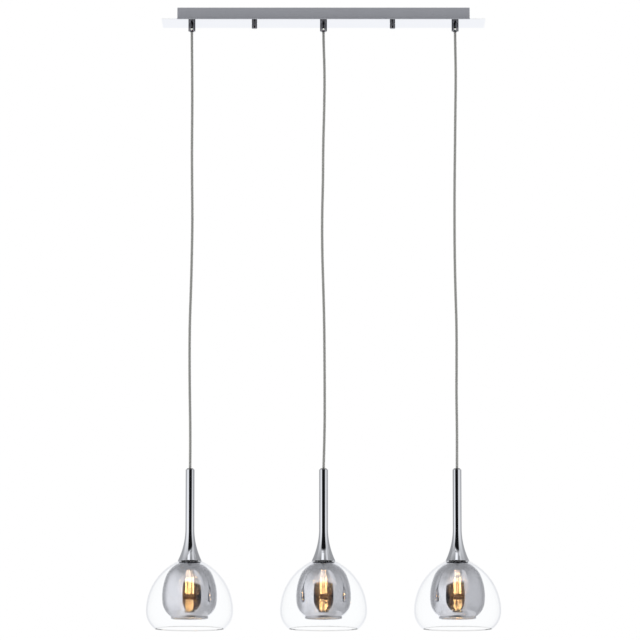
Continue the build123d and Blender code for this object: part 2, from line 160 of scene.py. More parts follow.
# Smoked inner shade
INNER_WALL = 2.5 * MM
INNER_COLLAR_TOP = -4.1 * MM
INNER_WIDEST_RADIUS = 50.3 * MM
INNER_CROWN_HEIGHT = 61.1 * MM
INNER_FLANK_RADIUS = 100.0 * MM
INNER_FLANK_BELOW = math.radians(6)
INNER_FLANK_STEPS = 24
INNER_HIP_HEIGHT = 37.1 * MM
INNER_LIP_RADIUS = 33.8 * MM
INNER_LIP_HEIGHT = 3.6 * MM
INNER_LIP_TOP = INNER_COLLAR_TOP - INNER_CROWN_HEIGHT - INNER_HIP_HEIGHT

# Slope, from upright, on which both glasses leave their collars side by side
CROWN_SLOPE = 2 * math.atan2(OUTER_WIDEST_RADIUS - COLLAR_RADIUS, OUTER_CROWN_HEIGHT)

# Bulb, heights from the flare rim
CAP_RADIUS = 7.0 * MM
CAP_TOP = 11.2 * MM
CAP_SHELL_TOP = 6.7 * MM
CAP_BOTTOM = -12.3 * MM
CAP_THREADS = 5
CAP_THREAD_PITCH = 2.8 * MM
CAP_THREAD_DEPTH = 0.35 * MM
CAP_THREAD_STEPS = 8
CAP_INSULATOR_RADIUS = 4.5 * MM
CAP_BUTTON_RADIUS = 2.4 * MM
CAP_BUTTON_HEIGHT = 1.5 * MM
ENVELOPE_RADIUS = 22.5 * MM
ENVELOPE_NECK_RADIUS = 6.3 * MM
ENVELOPE_NECK_LENGTH = 2.0 * MM
ENVELOPE_LENGTH = 55.0 * MM
ENVELOPE_WALL = 0.9 * MM
FILAMENT_COUNT = 4
FILAMENT_RADIUS = 0.9 * MM
FILAMENT_LENGTH = 29.0 * MM
FILAMENT_CIRCLE = 6.5 * MM
FILAMENT_TOP = CAP_BOTTOM - 18.2 * MM
STICK_TIP_SHARE = 0.6
FILAMENT_TURN = dict(zip(SIDES, angles(8, 45, 48)))
COAT_RADIUS = 1.5 * MM
ROD_RADIUS = 1.1 * MM
LEAD_RADIUS = 0.5 * MM
LEAD_DROP = 5.0 * MM
LEAD_DRAW_IN = 0.6
MOUNT_FLARE_RADIUS = 5.1 * MM
MOUNT_FLARE_HEIGHT = 10.0 * MM
MOUNT_RADIUS = 2.2 * MM
MOUNT_RISE = 2.0 * MM
SUPPORT_RADIUS = 0.3 * MM

# Painted glow of the lit glass, standing for lamp light scattered in it, at an upper and a lower place:
# height from the flare rim, strength and colour
GLOBE_PAINTED_GLOW = ((-44 * MM, 3.2, (1.0, 0.76, 0.58)), (-64 * MM, 4.0, (1.0, 0.34, 0.04)))
MOUNT_PAINTED_GLOW = ((-13 * MM, 1.1, (1.0, 0.66, 0.42)), (-24 * MM, 1.6, (1.0, 0.7, 0.46)))

# Part of a noise texture's range that a finish's limits are spread over
NOISE_RANGE = (0.3, 0.7)

# Studio tones seen in the chrome and the glass; bearings are from the viewer's side, to the right.
# Two tones, gap tops or side starts are for bare reflections and for what shows through glass; low tones
# are for left and right. Other pairs are where a change starts and where it ends.
GAP_BEARING = math.radians(41)
GAP_TOPS = angles(43, 31)
GAP_FOOT = math.radians(-60)
GAP_FOOT_WIDTH = 0.27
GAP_FOOT_EDGE = 0.03
GAP_BOTTOM = math.radians(-83)
GAP_EDGE = math.radians(3)
GAP_ARCH = 0.15
GAP_TONE = 0.012
LEFT_TONES = (1.5, 1.14)
RIGHT_TONES = (1.3, 0.75)
SIDE_TONES = (0.62, 0.48)
SIDE_STARTS = angles(72, 92)
SIDE_FADE = math.radians(36)
LOW_TONES = (1.02, 0.62)
LOW_SPREAD = 0.5
LOW_FADE = angles(-12, -35)
BACK_TONE = 0.5
BACK_FADE = angles(120, 155)
UPPER_TONE = 0.43
UPPER_FADE = angles(10, 60)
FAR_TONE = 0.92
FAR_BEARINGS = angles(152, 165)
FAR_TOP = angles(50, 35)
FAR_BOTTOM = angles(-30, -20)
SWEEP_TONE = 1.29
SWEEP_FADE = angles(-4, -9)
CLEAR_TONE = 0.86
ONE_GLASS_WALLS = (3.5, 2.5)
OPENING_SLOPE = math.radians(-56)
WHITE = (1.0, 1.0, 1.0, 1.0)
TOP_STRIPS = ((angles(-28, 4), (1.65, 0.9)), (angles(36, 60), (1.1, 0.9)))
STRIP_EDGE = math.radians(6)
STRIP_END = math.radians(62)
TINT_SHARES = {"Red": 0.975, "Green": 0.985, "Blue": 1.015}

# Light tent round the lamps, open behind
TENT_RADIUS = 0.95
TENT_TOP = -0.15
TENT_BOTTOM = -3.2
TENT_REACH = math.radians(150)
TENT_STEPS = 96
TENT_MIDDLE = -1.09

# Bounces of light
MAX_BOUNCES = 24
GLOSSY_BOUNCES = 12
CLEAR_BOUNCES = 32


# Outlines and meshes

def arc(start, end, heading, steps):
    """Points after start on the circular arc that leaves start on a heading and ends at end."""
    tangent = Vector(heading).normalized()
    normal = Vector((-tangent.y, tangent.x))
    chord = Vector(end) - Vector(start)
    turn = 2 * math.atan2(chord.dot(normal), chord.dot(tangent))
    radius = chord.length_squared / (2 * chord.dot(normal))
    points = []
    for step in range(1, steps + 1):
        angle = turn * step / steps
        ahead = tangent * radius * math.sin(angle)
        aside = normal * radius * (1 - math.cos(angle))
        points.append(Vector(start) + ahead + aside)
    return points


def circle(steps):
    """Points at even steps round a circle of radius 1."""
    turns = (2 * math.pi * step / steps for step in range(steps))
    return [(math.cos(turn), math.sin(turn)) for turn in turns]


def finished(name, mesh):
    """Scene object of a mesh with smooth faces and sharp edges where it has corners."""
    mesh.polygons.foreach_set("use_smooth", [True] * len(mesh.polygons))
    mesh.set_sharp_from_angle(angle=SMOOTH_ANGLE)
    piece = bpy.data.objects.new(name, mesh)
    bpy.context.scene.collection.objects.link(piece)
    return piece


def built(name, build):
    """Scene object of a mesh that has been built up."""
    mesh = bpy.data.meshes.new(name)
    build.to_mesh(mesh)
    build.free()
    return finished(name, mesh)


def worked_out(piece):
    """Mesh of an object as its modifiers or its curve make it."""
    bpy.context.view_layer.update()
    return bpy.data.meshes.new_from_object(piece.evaluated_get(bpy.context.evaluated_depsgraph_get()))


def lathe(name, outline, place, steps=LATHE_STEPS):
    """Turned piece about an upright axis through place; the outline is (radius, height) points, top first."""
    build = bmesh.new()
    rings = []
    for radius, height in outline:
        turns = circle(steps if radius > 0 else 1)
        rings.append([build.verts.new((radius * x, radius * y, height)) for x, y in turns])
    for upper, lower in zip(rings, rings[1:]):
        for step in range(steps):
            corners = [
                upper[step % len(upper)], lower[step % len(lower)],
                lower[(step + 1) % len(lower)], upper[(step + 1) % len(upper)],
            ]
            build.faces.new(list(dict.fromkeys(corners)))
    bmesh.ops.recalc_face_normals(build, faces=build.faces)
    piece = built(name, build)
    piece.location = place
    return piece


def walled(piece, wall):
    """Gives a turned skin its wall, towards the axis, and rounds the two edges of its rims."""
    solid = piece.modifiers.new("wall", "SOLIDIFY")
    solid.thickness = wall
    solid.offset = -1
    solid.use_even_offset = True
    soften(piece, wall * RIM_ROUND_SHARE, RIM_SEGMENTS)
    return piece


def soften(piece, width, segments):
    """Rounds the sharp edges of a piece."""
    bevel = piece.modifiers.new("soft_edges", "BEVEL")
    bevel.width = width
    bevel.segments = segments
    bevel.limit_method = "ANGLE"
    bevel.angle_limit = BEVEL_ANGLE


def tube(name, points, radius, sides):
    """Round tube that follows points, closed at both ends."""
    build = bmesh.new()
    rings = []
    for index, point in enumerate(points):
        before = points[max(index - 1, 0)]
        after = points[min(index + 1, len(points) - 1)]
        along = (after - before).normalized()
        across = along.cross(Vector((0, 1, 0)))
        if across.length < LEAST_ACROSS:
            across = along.cross(Vector((1, 0, 0)))
        across.normalize()
        other = along.cross(across)
        spokes = (across * x + other * y for x, y in circle(sides))
        rings.append([build.verts.new(point + spoke * radius) for spoke in spokes])
    for one, two in zip(rings, rings[1:]):
        for side in range(sides):
            build.faces.new((one[side], one[side - 1], two[side - 1], two[side]))
    build.faces.new(rings[0])
    build.faces.new(rings[-1][::-1])
    bmesh.ops.recalc_face_normals(build, faces=build.faces)
    return built(name, build)


def joined(name, pieces):
    """One piece out of several, which are removed; their places are kept."""
    build = bmesh.new()
    for piece in pieces:
        piece.data.transform(piece.matrix_basis)
        build.from_mesh(piece.data)
        bpy.data.objects.remove(piece)
    return built(name, build)


def softened_node(node, width, segments=2):
    """Copy of a CAD node with flat faces joined and its edges rounded, which replaces the node."""
    build = bmesh.new()
    build.from_mesh(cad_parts[node].data)
    bmesh.ops.remove_doubles(build, verts=build.verts, dist=WELD_DISTANCE)
    bmesh.ops.dissolve_limit(build, angle_limit=FLAT_ANGLE, verts=build.verts, edges=build.edges)
    piece = built(node + "_finished", build)
    soften(piece, width, segments)
    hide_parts(node)
    return piece


# Materials

class ShaderKit:
    """Adds nodes to a shader tree, with plain values or other nodes' outputs on their sockets."""

    def __init__(self, tree):
        self.tree = tree

    def feed(self, node, sockets):
        """Sets sockets of a node, by name or number, to plain values or links outputs to them."""
        for key, value in sockets.items():
            if isinstance(value, bpy.types.NodeSocket):
                self.tree.links.new(value, node.inputs[key])
            else:
                node.inputs[key].default_value = value

    def add(self, kind, sockets):
        """New node of a kind."""
        node = self.tree.nodes.new(kind)
        self.feed(node, sockets)
        return node

    def source(self, kind, output):
        """One output of a new node that needs no input."""
        return self.tree.nodes.new(kind).outputs[output]

    def math(self, operation, *values):
        """Math node of one or two numbers."""
        node = self.add("ShaderNodeMath", dict(enumerate(values)))
        node.operation = operation
        return node.outputs[0]

    def product(self, first, *others):
        """Product of numbers."""
        for other in others:
            first = self.math("MULTIPLY", first, other)
        return first

    def span(self, value, start, end, low=0.0, high=1.0, kind="LINEAR"):
        """Number from low to high while value goes from start to end."""
        ends = {"From Min": start, "From Max": end, "To Min": low, "To Max": high}
        node = self.add("ShaderNodeMapRange", {"Value": value, **ends})
        node.interpolation_type = kind
        return node.outputs["Result"]

    def ramp(self, value, *ends):
        """Smooth step between the same ends."""
        return self.span(value, *ends, kind="SMOOTHSTEP")

    def blend(self, amount, first, second):
        """Mix of two numbers."""
        return self.add("ShaderNodeMix", {0: amount, 2: first, 3: second}).outputs[0]

    def colours(self, amount, first, second):
        """Mix of two colours."""
        node = self.tree.nodes.new("ShaderNodeMix")
        node.data_type = "RGBA"
        self.feed(node, {"Factor": amount, "A": (*first, 1), "B": (*second, 1)})
        return node.outputs["Result"]

    def light(self, kind, colour):
        """Light of one colour."""
        return self.add(kind, {"Color": colour}).outputs[0]

    def shade(self, amount, first, second):
        """Mix of two lights."""
        return self.add("ShaderNodeMixShader", {0: amount, 1: first, 2: second}).outputs[0]

    def axes(self, vector):
        """The three numbers of a vector."""
        return self.add("ShaderNodeSeparateXYZ", {"Vector": vector}).outputs

    def after(self, depth):
        """One after a bounce of a kind, and zero before it."""
        return self.math("MINIMUM", self.source("ShaderNodeLightPath", depth), 1.0)


class Finish(ShaderKit):
    """New material with one Principled shader and plain values on its own sockets."""

    def __init__(self, name, sockets):
        self.material = bpy.data.materials.new(name)
        self.material.use_nodes = True
        super().__init__(self.material.node_tree)
        self.shader = self.tree.nodes["Principled BSDF"]
        self.feed(self.shader, sockets)

    def place(self):
        """The piece's own coordinates."""
        return self.source("ShaderNodeTexCoord", "Object")

    def noise(self, scale, detail=3.0, stretch=(1, 1, 1)):
        """Noise in the piece's own coordinates, with its scale in waves per metre."""
        place = self.add("ShaderNodeMapping", {"Vector": self.place(), "Scale": stretch}).outputs[0]
        texture = self.add("ShaderNodeTexNoise", {"Vector": place, "Scale": scale, "Detail": detail})
        return texture.outputs["Fac"]

    def vary(self, socket, texture, low, high):
        """Lets a texture move one number of the shader between two limits."""
        self.feed(self.shader, {socket: self.span(texture, *NOISE_RANGE, low, high)})

    def tones(self, amount, first, second):
        """Lets a number move the base colour between two colours."""
        self.feed(self.shader, {"Base Color": self.colours(amount, first, second)})

    def bump(self, texture, strength, distance):
        """Lets a texture move the surface normal."""
        node = self.add("ShaderNodeBump", {"Height": texture, "Strength": strength, "Distance": distance})
        self.feed(self.shader, {"Normal": node.outputs["Normal"]})

    def glow(self, upper, lower):
        """Paints a glow onto a piece, with (height, strength, colour) given at an upper and a lower place."""
        upper_height, upper_strength, upper_colour = upper
        lower_height, lower_strength, lower_colour = lower
        height = self.axes(self.place())[2]
        share = self.span(height, lower_height, upper_height)
        strength = self.span(height, lower_height, upper_height, lower_strength, upper_strength)
        colour = self.colours(share, lower_colour, upper_colour)
        self.feed(self.shader, {"Emission Strength": strength, "Emission Color": colour})


def varied(name, sockets, tones, roughness, waves, stretch=(1, 1, 1)):
    """Finish whose colour and roughness wander between two limits, each with noise of its own waves."""
    tone_scale, roughness_scale = waves
    finish = Finish(name, sockets)
    finish.tones(finish.noise(tone_scale, stretch=stretch), *tones)
    finish.vary("Roughness", finish.noise(roughness_scale), *roughness)
    return finish


def chrome():
    """Mirror chrome with a faint haze that changes over the surface."""
    return varied(
        "polished_chrome", {"Metallic": 1.0},
        tones=((0.552, 0.56, 0.574), (0.588, 0.596, 0.61)), roughness=(0.02, 0.05), waves=(14, 60),
    )


def lacquer():
    """Satin grey lacquer with a fine orange peel."""
    finish = varied(
        "grey_lacquer", {"Metallic": 0.1, "Coat Weight": 0.1, "Coat Roughness": 0.3},
        tones=((0.318, 0.327, 0.36), (0.342, 0.35, 0.384)), roughness=(0.38, 0.46), waves=(30, 240),
    )
    finish.bump(finish.noise(scale=1400, detail=2), strength=0.12, distance=0.1 * MM)
    return finish


def dark_metal():
    """Polished metal of the cord grips and cap nuts, much darker than the chrome."""
    return varied(
        "dark_polished_metal", {"Metallic": 1.0},
        tones=((0.15, 0.15, 0.16), (0.19, 0.19, 0.2)), roughness=(0.1, 0.18), waves=(90, 300),
    )


def zinc():
    """Zinc plate with cloudy spangle."""
    return varied(
        "zinc_plate", {"Metallic": 1.0},
        tones=((0.58, 0.6, 0.63), (0.7, 0.71, 0.72)), roughness=(0.24, 0.42), waves=(320, 500),
    )


def brass():
    """Plain turned brass with slight tarnish."""
    return varied(
        "turned_brass", {"Metallic": 1.0},
        tones=((0.72, 0.54, 0.24), (0.83, 0.68, 0.36)), roughness=(0.2, 0.34), waves=(180, 700),
    )


def nickel():
    """Nickel plate of the bulb caps and of the wires that carry the sticks."""
    return varied(
        "nickel_plate", {"Metallic": 1.0},
        tones=((0.66, 0.64, 0.6), (0.76, 0.75, 0.72)), roughness=(0.12, 0.24), waves=(160, 500),
    )


def nylon():
    """White nylon, slightly translucent."""
    finish = varied(
        "white_nylon", {"Subsurface Weight": 0.15, "Subsurface Scale": 1.0 * MM},
        tones=((0.88, 0.88, 0.86), (0.94, 0.94, 0.93)), roughness=(0.32, 0.45), waves=(400, 900),
    )
    finish.bump(finish.noise(scale=2600), strength=0.06, distance=0.05 * MM)
    return finish


def black_plastic():
    """Black moulded plastic with a fine spark-eroded grain."""
    finish = varied(
        "black_plastic", {},
        tones=((0.012, 0.012, 0.013), (0.022, 0.022, 0.023)), roughness=(0.38, 0.52), waves=(120, 800),
    )
    finish.bump(finish.noise(scale=3200), strength=0.1, distance=0.05 * MM)
    return finish


def rubber():
    """Dull black rubber."""
    return varied(
        "black_rubber", {"Specular IOR Level": 0.3},
        tones=((0.018, 0.018, 0.018), (0.032, 0.032, 0.031)), roughness=(0.62, 0.78), waves=(200, 900),
    )


def gasket():
    """Grey rubber, dusty from the mould."""
    return varied(
        "charcoal_rubber", {"Specular IOR Level": 0.3},
        tones=((0.22, 0.22, 0.225), (0.28, 0.28, 0.285)), roughness=(0.62, 0.78), waves=(200, 900),
    )


def sheath():
    """Clear soft sheath of the cord."""
    return varied(
        "clear_sheath", {"Alpha": 0.55, "Specular IOR Level": 0.4},
        tones=((0.34, 0.34, 0.32), (0.4, 0.4, 0.38)), roughness=(0.2, 0.3), waves=(200, 260),
    )


def wire():
    """Tinned wire strands inside the sheath."""
    return varied(
        "tinned_wire", {"Metallic": 1.0},
        tones=((0.4, 0.4, 0.38), (0.5, 0.5, 0.48)), roughness=(0.35, 0.45), waves=(600, 900),
        stretch=(1, 1, 0.3),
    )


def clear_glass():
    """Clear blown glass with the slight wave of a hand-blown wall, and a low index that keeps it faint."""
    finish = Finish("clear_glass", {
        "Base Color": (0.99, 0.995, 1.0, 1), "Roughness": 0.0, "Transmission Weight": 1.0, "IOR": 1.07,
    })
    finish.bump(finish.noise(scale=18, detail=1), strength=0.02, distance=1.0 * MM)
    return finish


def ground_glass():
    """Finely ground rim of the clear glass."""
    return varied(
        "ground_glass", {"Alpha": 0.5, "Specular IOR Level": 0.3},
        tones=((0.58, 0.59, 0.6), (0.66, 0.67, 0.68)), roughness=(0.45, 0.6), waves=(300, 700),
    )


def smoked_glass():
    """Half-mirrored smoke coating that lets part of the lamp light through."""
    return varied(
        "smoked_mirror_glass", {"Metallic": 1.0, "Alpha": 0.74},
        tones=((0.75, 0.75, 0.77), (0.81, 0.81, 0.83)), roughness=(0.015, 0.04), waves=(16, 40),
    )


def smoked_lip():
    """Satin-cut lip of the smoked glass."""
    return varied(
        "satin_smoked_lip", {"Metallic": 1.0, "Alpha": 0.78},
        tones=((0.66, 0.66, 0.68), (0.72, 0.72, 0.74)), roughness=(0.42, 0.52), waves=(120, 500),
    )


def bulb_glass():
    """Thin clear bulb glass with a faint painted glow for scattered lamp light, which turns amber towards its
    tip.
    """
    finish = varied(
        "bulb_glass", {"Alpha": 0.03, "Specular IOR Level": 0.7},
        tones=((0.98, 0.93, 0.85), (1.0, 0.97, 0.92)), roughness=(0.02, 0.06), waves=(60, 90),
    )
    # Painted glow: the glass gives no light of its own.
    finish.glow(*GLOBE_PAINTED_GLOW)
    return finish


def mount_glass_painted_glow():
    """Pressed glass of the bulb's inner mount, with a painted glow for the sticks' light in it."""
    finish = varied(
        "mount_glass_painted_glow", {"Alpha": 0.45},
        tones=((0.92, 0.88, 0.82), (1.0, 0.97, 0.93)), roughness=(0.1, 0.2), waves=(500, 900),
    )
    # Painted glow for the light of the sticks in the mount.
    finish.glow(*MOUNT_PAINTED_GLOW)
    return finish


def filament():
    """Lit amber filament sticks, with a brightness that changes along each stick."""
    finish = Finish("lit_filament", {
        "Base Color": (1.0, 0.76, 0.36, 1), "Roughness": 0.5, "Emission Color": (1.0, 0.68, 0.27, 1),
    })
    chips = finish.noise(scale=900, detail=1, stretch=(0.2, 0.2, 1))
    finish.vary("Emission Strength", chips, low=32.0, high=41.0)
    return finish


def phosphor_and_painted_glow():
    """Soft amber coat round the sticks, their lead wires and the glass rod: round the sticks partly their
    glowing phosphor and partly a painted glow, on the wires and the rod a painted glow.
    """
    finish = Finish("amber_coat", {
        "Base Color": (1.0, 0.7, 0.3, 1), "Roughness": 0.4, "Alpha": 0.5,
        "Emission Color": (1.0, 0.77, 0.44, 1),
    })
    # Emission that is partly phosphor and partly painted glow.
    finish.vary("Emission Strength", finish.noise(scale=500, detail=1), low=8.5, high=11.0)
    return finish


def plate_edge():
    """Satin of the plate's cut edge: pale at the free ends, and grey under the channel."""
    finish = Finish("satin_edge", {"Metallic": 0.1})
    finish.vary("Roughness", finish.noise(scale=400), low=0.45, high=0.6)
    along = finish.math("ABSOLUTE", finish.axes(finish.place())[0])
    is_free = finish.math("GREATER_THAN", along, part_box("ceiling_channel")[1].x)
    finish.tones(is_free, (0.33, 0.338, 0.37), (0.92, 0.93, 0.95))
    return finish


FINISHES = (
    chrome, dark_metal, lacquer, zinc, brass, nickel, nylon, black_plastic, rubber, gasket, sheath, wire,
    clear_glass, ground_glass, smoked_glass, smoked_lip, bulb_glass, mount_glass_painted_glow, filament, phosphor_and_painted_glow,
    plate_edge,
)
MATERIALS = {finish.__name__: finish().material for finish in FINISHES}


def paint(piece, material):
    """Gives a piece one material."""
    piece.data.materials.clear()
    piece.data.materials.append(MATERIALS[material])
    return piece


def dress(piece, material, body, slot, *nodes):
    """Paints a piece, puts it on its body, takes a record slot that is not used, and hides the nodes it
    stands for.
    """
    paint(piece, material)
    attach(piece, body)
    if nodes:
        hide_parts(*nodes)
    return piece


# Canopy

def canopy():
    """Channel, plate and the small parts on them."""
    dress(softened_node("ceiling_channel", CHANNEL_ROUND), "lacquer", "canopy", "painted_grey")
    plate = softened_node("cover_plate", PLATE_ROUND, PLATE_SEGMENTS)
    dress(plate, "chrome", "canopy", "polished_chrome")
    plate.data.materials.append(MATERIALS["plate_edge"])
    plate.modifiers["soft_edges"].material = 1
    for face in plate.data.polygons:
        face.material_index = int(abs(face.normal.z) < PLATE_EDGE_SLOPE)
    dress(softened_node("terminal_block", SMALL_ROUND), "nylon", "canopy", "white_nylon")
    dress(softened_node("grip_locknuts", SMALL_ROUND), "zinc", "canopy", "zinc_steel")
    for node, material in (
        ("plate_studs", "zinc"), ("earth_stud", "brass"), ("terminal_screws", "brass"),
        ("supply_bush", "rubber"), ("canopy_leads", "sheath"),
    ):
        paint(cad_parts[node], material)
    cap_nuts()
    clamp_screws()
    for side in SIDES:
        cord_grip(side)


def axis_of(node):
    """Place on the upright axis of a node, at its lowest point."""
    low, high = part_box(node)
    return Vector(((low.x + high.x) / 2, (low.y + high.y) / 2, low.z))


def cap_nuts():
    """Two turned cap nuts with a domed lower edge and a fine groove under the plate."""
    low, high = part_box("cap_nuts")
    radius = (high.y - low.y) / 2
    height = high.z - low.z
    neck = radius - NUT_GROOVE
    outline = [(neck, height), (neck, height - 2 * NUT_GROOVE), (radius, height - 3 * NUT_GROOVE)]
    outline += [(radius, NUT_EDGE)] + arc((radius, NUT_EDGE), (radius - NUT_EDGE, 0), (0, -1), steps=6)
    outline += [(0, 0)]
    places = [(x, 0, low.z) for x in (low.x + radius, high.x - radius)]
    nuts = [lathe("cap_nut", outline, place, steps=64) for place in places]
    dress(joined("cap_nuts_turned", nuts), "dark_metal", "canopy", "polished_chrome", "cap_nuts")


def cord_grip(side):
    """Turned cord grip with softened edges, a flat bottom, a short nose and a rounded bellmouth."""
    node = side + "_grip"
    place = axis_of(node)
    low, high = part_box(node)
    radius = (high.x - low.x) / 2
    top = high.z - low.z
    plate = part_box("cover_plate")[0].z - place.z
    rim = radius - GRIP_EDGE
    bore = GRIP_BORE_RADIUS
    mouth = bore + GRIP_BELL
    shoulder = GRIP_NOSE_HEIGHT + GRIP_EDGE
    outline = [(bore, top), (GRIP_SHANK_RADIUS, top), (GRIP_SHANK_RADIUS, plate), (rim, plate)]
    outline += arc((rim, plate), (radius, plate - GRIP_EDGE), (1, 0), steps=5)
    outline += [(radius, shoulder)] + arc((radius, shoulder), (rim, GRIP_NOSE_HEIGHT), (0, -1), steps=5)
    outline += [(GRIP_NOSE_ROOT, GRIP_NOSE_HEIGHT), (GRIP_NOSE_RADIUS, 0), (mouth, 0)]
    outline += arc((mouth, 0), (bore, GRIP_BELL), (-1, 0), steps=8)
    outline += [(bore, top)]
    grip = lathe(side + "_grip_turned", outline, place, steps=96)
    dress(grip, "dark_metal", "canopy", "polished_chrome", node)


def slotted(screw, size, height):
    """Screw with a slot cut into its head at a height, in place of the plain screw."""
    build = bmesh.new()
    bmesh.ops.create_cube(build, size=1)
    bmesh.ops.scale(build, vec=size, verts=build.verts)
    bmesh.ops.translate(build, vec=(0, 0, height), verts=build.verts)
    cutter = built("slot", build)
    cut = screw.modifiers.new("slot", "BOOLEAN")
    cut.object = cutter
    cut.operation = "DIFFERENCE"
    mesh = worked_out(screw)
    bpy.data.objects.remove(cutter)
    bpy.data.objects.remove(screw)
    return finished("clamp_screw", mesh)


def clamp_screws():
    """White nylon screws with a domed, slotted head, pointing to the front."""
    low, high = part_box("clamp_screws")
    radius = (high.z - low.z) / 2
    length = high.y - low.y
    outline = [(0, length)]
    for step in range(1, SCREW_DOME_STEPS + 1):
        angle = math.pi / 2 * step / SCREW_DOME_STEPS
        outline.append((radius * math.sin(angle), length - SCREW_DOME * (1 - math.cos(angle))))
    outline += [(radius, 0), (0, 0)]
    slot_size = (SCREW_SLOT_WIDTH, 4 * radius, 2 * SCREW_SLOT_DEPTH)
    screws = []
    for side in SIDES:
        screw = slotted(lathe("clamp_screw", outline, (0, 0, 0), steps=48), slot_size, length)
        screw.rotation_euler = (math.pi / 2, 0, 0)
        screw.location = (axis_of(side + "_grip").x, high.y, (low.z + high.z) / 2)
        screws.append(screw)
    dress(joined("clamp_screws_slotted", screws), "nylon", "canopy", "white_nylon", "clamp_screws")


# Cords

def route(side):
    """Route points of the free cord, from the grip mouth to the stem."""
    x = axis_of(side + "_grip").x
    points = [Vector((x, 0, SIDEWAYS_PIVOT))]
    for index, shift in enumerate(CORD_OFFSETS[side]):
        points.append(Vector((x + shift * MM, 0, SWING_PIVOT - index * CORD_RUN)))
    return points


def smooth_line(points):
    """Points read from the NURBS spline that has the route as its control points."""
    curve = bpy.data.curves.new("route", "CURVE")
    curve.dimensions = "3D"
    curve.resolution_u = ROUTE_STEPS
    spline = curve.splines.new("NURBS")
    spline.points.add(len(points) - 1)
    for control, point in zip(spline.points, points):
        control.co = (*point, 1)
    spline.order_u = ROUTE_ORDER
    spline.use_endpoint_u = True
    holder = bpy.data.objects.new("route", curve)
    bpy.context.scene.collection.objects.link(holder)
    mesh = worked_out(holder)
    line = [vertex.co.copy() for vertex in mesh.vertices]
    bpy.data.objects.remove(holder)
    bpy.data.meshes.remove(mesh)
    return line


def along_line(line, height):
    """Point of a falling line at a height."""
    for upper, lower in zip(line, line[1:]):
        if lower.z <= height <= upper.z:
            return upper.lerp(lower, (upper.z - height) / (upper.z - lower.z))
    return line[-1].copy()


def wires(name, line):
    """Twisted wires round a falling line, with the twist measured from the line's height."""
    steps = int((line[0].z - line[-1].z) / WIRE_PITCH * WIRE_STEPS)
    strands = []
    for strand in range(WIRE_COUNT):
        points = []
        for step in range(steps + 1):
            height = line[0].z + (line[-1].z - line[0].z) * step / steps
            angle = 2 * math.pi * (height / WIRE_PITCH + strand / WIRE_COUNT)
            twist = Vector((math.cos(angle), math.sin(angle), 0)) * WIRE_CIRCLE
            points.append(along_line(line, height) + twist)
        strands.append(tube("strand", points, WIRE_RADIUS, WIRE_SIDES))
    return joined(name, strands)


def cord(side):
    """Clear cord with twisted wires: a short stretch under the grip, and the rest, which goes with the
    hanging body.
    """
    line = smooth_line(route(side))
    split = along_line(line, BEND_PIECE_END)
    upper = [point for point in line if point.z > BEND_PIECE_END] + [split]
    lower = [split] + [point for point in line if point.z < BEND_PIECE_END]
    flex, hang = side + "_flex", side + "_hang"

    bend = paint(tube(side + "_cord_bend", upper, CORD_DIAMETER / 2, CORD_SIDES), "sheath")
    bend_wires = paint(wires(side + "_cord_bend_wires", upper), "wire")
    for piece in (bend, bend_wires):
        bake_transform(piece)
    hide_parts(side + "_cord_flex")

    drop = paint(tube(side + "_cord_drop", lower, CORD_DIAMETER / 2, CORD_SIDES), "sheath")
    drop_wires = paint(wires(side + "_cord_drop_wires", lower), "wire")
    for piece in (drop, drop_wires):
        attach(piece, hang)
        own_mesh(piece)
    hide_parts(side + "_cord")


# Lamps

def stem(side, place, height):
    """Spun chrome trumpet with a rounded shoulder and a rolled rim."""
    outline = [(BUSH_NECK_RADIUS, height), (STEM_RADIUS - STEM_TOP_ROUND, height)]
    outline += arc(outline[-1], (STEM_RADIUS, height - STEM_TOP_ROUND), (1, 0), steps=6)
    outline += [(STEM_RADIUS, FLARE_HEIGHT)]
    outline += arc((STEM_RADIUS, FLARE_HEIGHT), (FLARE_RADIUS, 0), (0, -1), steps=48)
    return walled(lathe(side + "_stem_spun", outline, place), STEM_WALL)


def bush(side, place, height):
    """Black bush with a softly rounded flange above the stem."""
    top = height + BUSH_FLANGE_HEIGHT
    bore = CORD_DIAMETER / 2 + CORD_GAP
    outline = [(bore, height), (bore, top - BUSH_ROUND / 2)]
    outline += arc(outline[-1], (bore + BUSH_ROUND / 2, top), (0, 1), steps=4)
    outline += [(BUSH_FLANGE_RADIUS - BUSH_ROUND, top)]
    outline += arc(outline[-1], (BUSH_FLANGE_RADIUS, top - BUSH_ROUND), (1, 0), steps=6)
    outline += [(BUSH_FLANGE_RADIUS, height), (bore, height)]
    return lathe(side + "_bush_moulded", outline, place, steps=64)


def outer_glass(side, place):
    """Clear bell: flat collar, crown arc and hip arc."""
    widest = OUTER_COLLAR_TOP - OUTER_CROWN_HEIGHT
    belt = Vector((OUTER_WIDEST_RADIUS, widest))
    crown = [belt] + arc(belt, (COLLAR_RADIUS, OUTER_COLLAR_TOP), (0, 1), steps=40)
    hip = arc(belt, (OUTER_RIM_RADIUS, widest - OUTER_HIP_HEIGHT), (0, -1), steps=24)
    outline = [(COLLAR_HOLE_RADIUS, OUTER_COLLAR_TOP)] + crown[::-1] + hip
    return walled(lathe(side + "_outer_glass", outline, place), OUTER_WALL)


def flank_above(centre):
    """Angle up to which the inner flank runs, where a shoulder arc on the crown's slope meets it smoothly."""
    inward = Vector((-math.cos(CROWN_SLOPE), -math.sin(CROWN_SLOPE)))
    across = centre - Vector((COLLAR_RADIUS, INNER_COLLAR_TOP))
    reach = 2 * (INNER_FLANK_RADIUS - across.dot(inward))
    shoulder_radius = (INNER_FLANK_RADIUS**2 - across.length_squared) / reach
    to_shoulder = inward * shoulder_radius - across
    return math.atan2(to_shoulder.y, to_shoulder.x)


